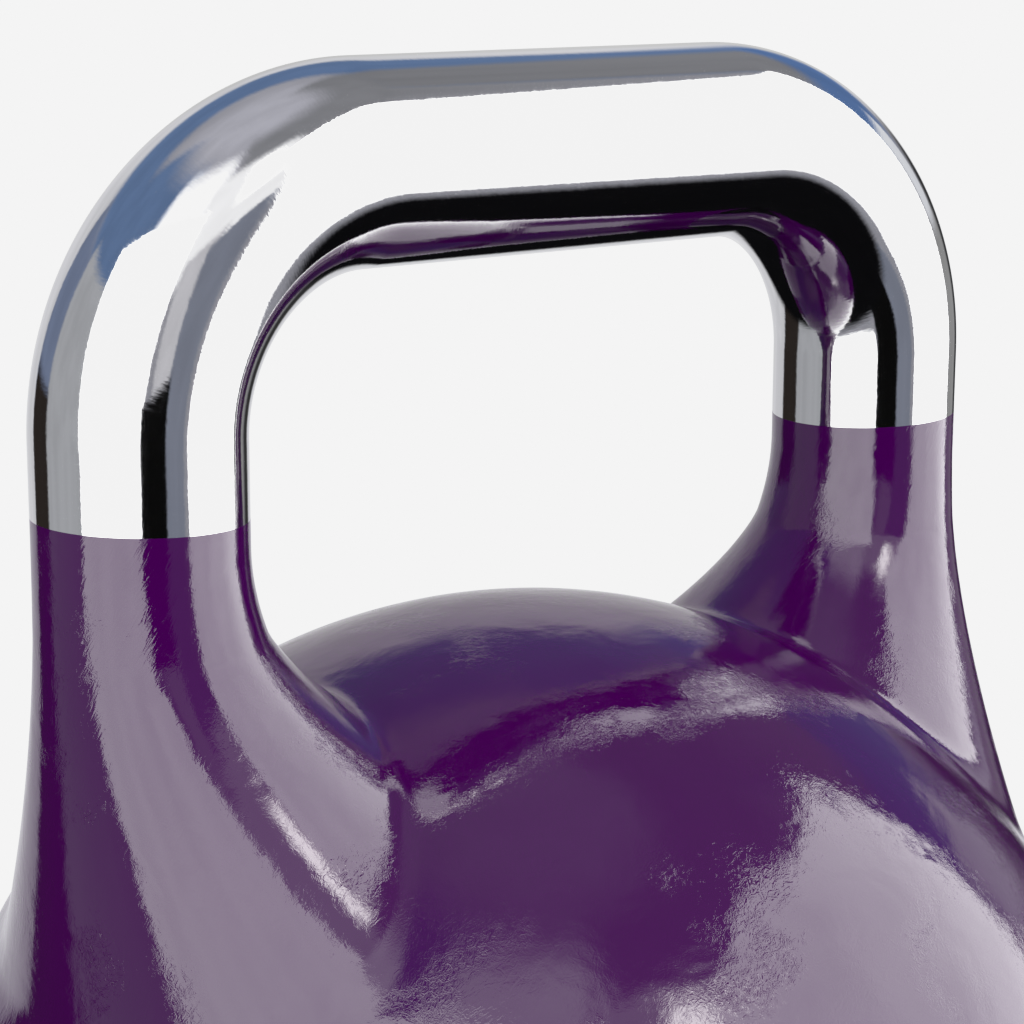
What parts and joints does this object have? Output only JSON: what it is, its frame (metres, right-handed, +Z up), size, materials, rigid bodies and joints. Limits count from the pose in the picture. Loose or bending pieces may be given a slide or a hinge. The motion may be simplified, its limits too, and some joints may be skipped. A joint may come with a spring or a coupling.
{
  "type": "competition kettlebell",
  "caption": "Hollow cast-steel ball weight with two flared horns, a chrome-plated bent round-bar handle welded into them and a plugged base.",
  "frame": {"origin": "middle of the base, on the floor that the kettlebell stands on", "axes": "+Z up through the handle, +X along the grip, +Y through the hand window; the front is -Y"},
  "size_m": [0.21, 0.21, 0.28],
  "materials": {
    "purple_paint": "gloss",
    "chrome_plate": "polished",
    "weld_steel": "satin",
    "steel_shot_resin": "matte",
    "plug_steel": "satin",
    "washer_rubber": "matte"
  },
  "bodies": {
    "root": {"body_shell": "purple_paint", "handle_bar": "chrome_plate", "horn_welds": "weld_steel", "shot_ballast": "steel_shot_resin", "base_plug": "plug_steel", "plug_washer": "washer_rubber"}
  },
  "joints": []
}
